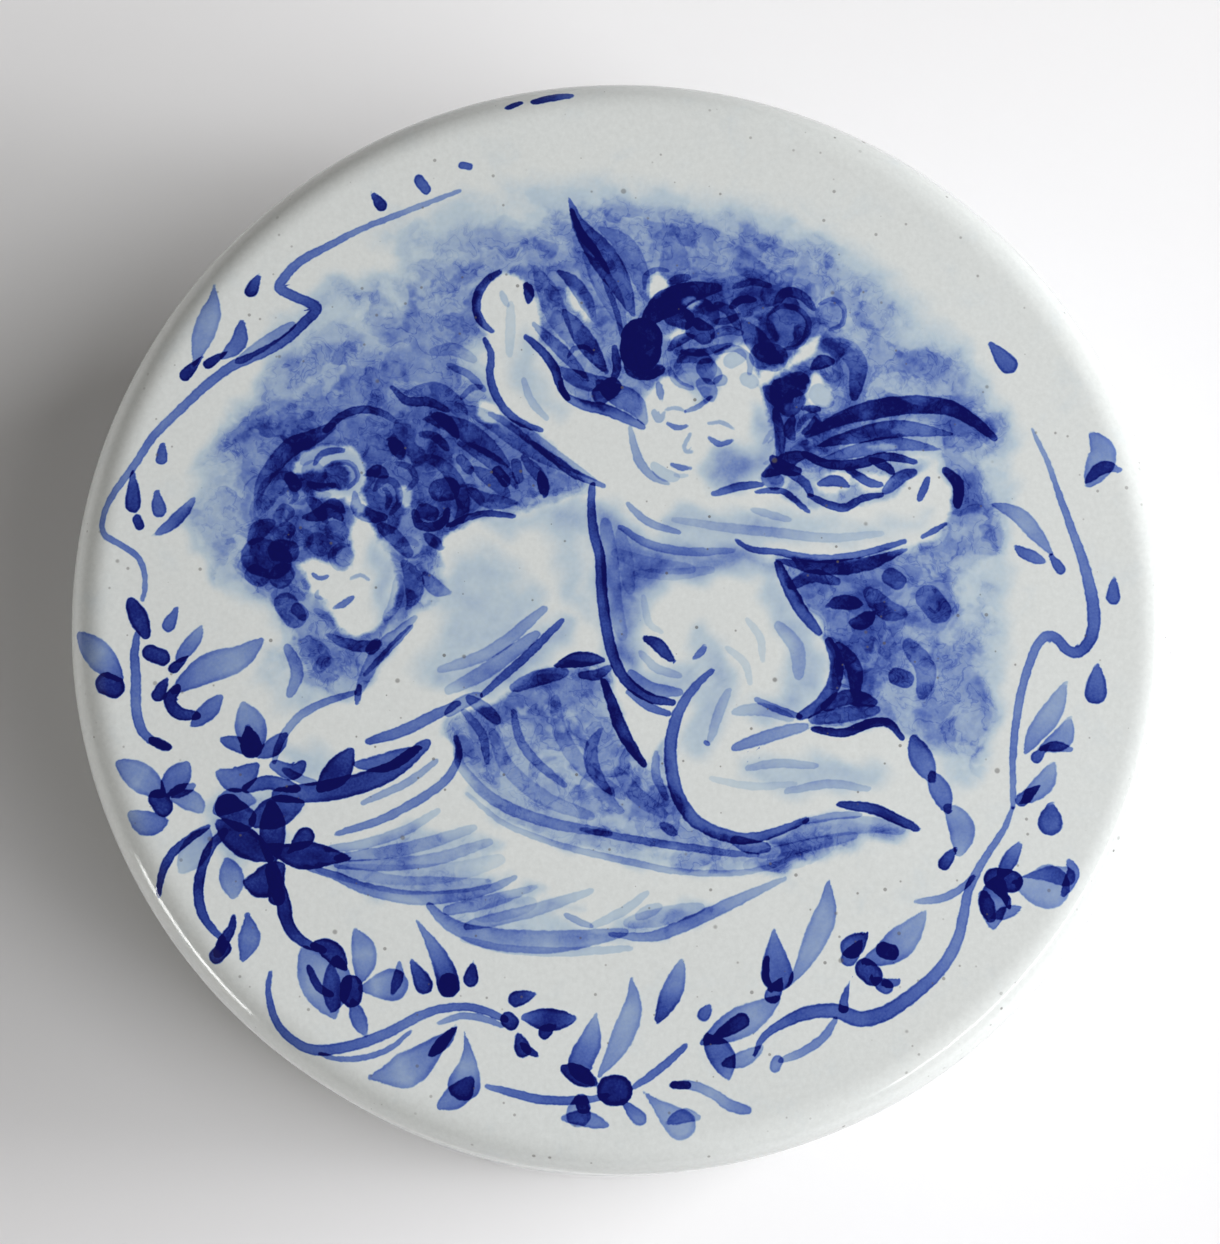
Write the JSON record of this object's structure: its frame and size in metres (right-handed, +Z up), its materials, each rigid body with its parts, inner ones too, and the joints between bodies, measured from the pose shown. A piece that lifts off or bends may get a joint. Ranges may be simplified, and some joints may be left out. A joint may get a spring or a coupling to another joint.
{
  "type": "porcelain trinket box",
  "caption": "Round porcelain trinket box: a low drum-shaped base with a raised neck inside its rim, and a flat cap-shaped lid that slips over the neck and lifts off.",
  "frame": {"origin": "centre of the foot ring's resting face, on the box's axis", "axes": "+Z up along the axis of the drum, from the foot to the lid; +Y towards the top of the picture painted on the lid; +X towards its right"},
  "size_m": [0.085, 0.085, 0.04],
  "materials": {
    "base_glaze": "glossy greyish-white tin glaze, painted with cobalt-blue sprigs round the wall; bare clay on the foot ring, the ledge and the neck's lip",
    "lid_glaze": "glossy greyish-white tin glaze with fine dark specks, painted in cobalt blue with two cherubs, a cloud wash and a garland of leaves"
  },
  "bodies": {
    "base": {"base": "base_glaze"},
    "lid": {"lid": "lid_glaze"}
  },
  "joints": [
    {"name": "lid_lift", "type": "slide", "parent": "base", "child": "lid", "axis": [0, 0, 1], "range_m": [0, 0.06]}
  ]
}
